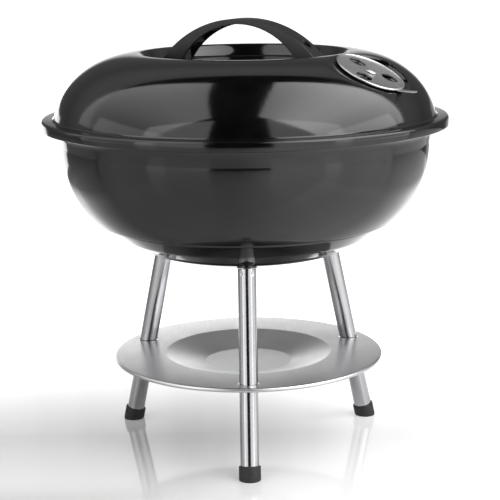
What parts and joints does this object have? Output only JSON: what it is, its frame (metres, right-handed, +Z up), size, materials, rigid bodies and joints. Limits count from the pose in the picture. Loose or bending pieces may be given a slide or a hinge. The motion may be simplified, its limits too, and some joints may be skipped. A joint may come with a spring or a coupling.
{
  "type": "kettle charcoal grill",
  "caption": "Portable kettle charcoal grill: black enamelled bowl and lift-off lid with arch handle and vent, on splayed steel tube legs with a dished ash tray.",
  "frame": {"origin": "kettle axis at floor level, under the feet", "axes": "+Z up along the kettle axis, -Y towards the front leg, +X to the right seen from the front"},
  "size_m": [0.368, 0.368, 0.3895],
  "materials": {
    "enamel": "gloss black enamel",
    "handle_plastic": "satin black heat-resistant plastic",
    "foot_rubber": "matte black rubber",
    "satin_steel": "satin stainless steel",
    "plated_steel": "bright zinc plating",
    "bracket_steel": "black enamel over bent strip",
    "grate_wire": "plated wire"
  },
  "bodies": {
    "base": {"bowl": "enamel", "leg_socket_front": "enamel", "leg_socket_right": "enamel", "leg_socket_left": "enamel", "leg_foot_front": "foot_rubber", "leg_foot_right": "foot_rubber", "leg_foot_left": "foot_rubber", "ash_tray": "satin_steel", "leg_tube_front": "satin_steel", "leg_tube_right": "satin_steel", "leg_tube_left": "satin_steel", "bottom_vent_rivet": "plated_steel", "bottom_vent_washer": "plated_steel", "leg_insert_front": "plated_steel", "leg_bolt_front": "plated_steel", "leg_bolt_washer_front": "plated_steel", "leg_insert_right": "plated_steel", "leg_bolt_right": "plated_steel", "leg_bolt_washer_right": "plated_steel", "leg_insert_left": "plated_steel", "leg_bolt_left": "plated_steel", "leg_bolt_washer_left": "plated_steel", "grate_bracket_front": "bracket_steel", "grate_bracket_right": "bracket_steel", "grate_bracket_left": "bracket_steel"},
    "lid": {"lid_shell": "enamel", "lid_handle": "handle_plastic", "handle_screw_left": "plated_steel", "handle_screw_right": "plated_steel", "handle_washer_left": "plated_steel", "handle_washer_right": "plated_steel", "handle_nut_left": "plated_steel", "handle_nut_right": "plated_steel", "lid_vent_rivet": "plated_steel", "lid_vent_washer": "plated_steel"},
    "lid_damper": {"lid_vent_damper": "satin_steel"},
    "upper_grate": {"cooking_grate": "grate_wire"},
    "lower_grate": {"charcoal_grate": "grate_wire"},
    "bottom_damper": {"bottom_vent_damper": "satin_steel"}
  },
  "joints": [
    {"name": "lid_lift", "type": "slide", "parent": "base", "child": "lid", "axis": [0, 0, 1], "range_m": [0, 0.25]},
    {"name": "lid_vent_turn", "type": "hinge", "parent": "lid", "child": "lid_damper", "pos_m": [0.10777, -0.07269, 0.3455], "axis": [0.3699, -0.2495, 0.8949], "range_deg": [-29, 31]},
    {"name": "cooking_grate_lift", "type": "slide", "parent": "base", "child": "upper_grate", "axis": [0, 0, 1], "range_m": [0, 0.03]},
    {"name": "charcoal_grate_lift", "type": "slide", "parent": "base", "child": "lower_grate", "axis": [0, 0, 1], "range_m": [0, 0.04]},
    {"name": "bottom_vent_turn", "type": "hinge", "parent": "base", "child": "bottom_damper", "pos_m": [0, 0, 0.169], "axis": [0, 0, 1], "range_deg": [0, 60]}
  ]
}
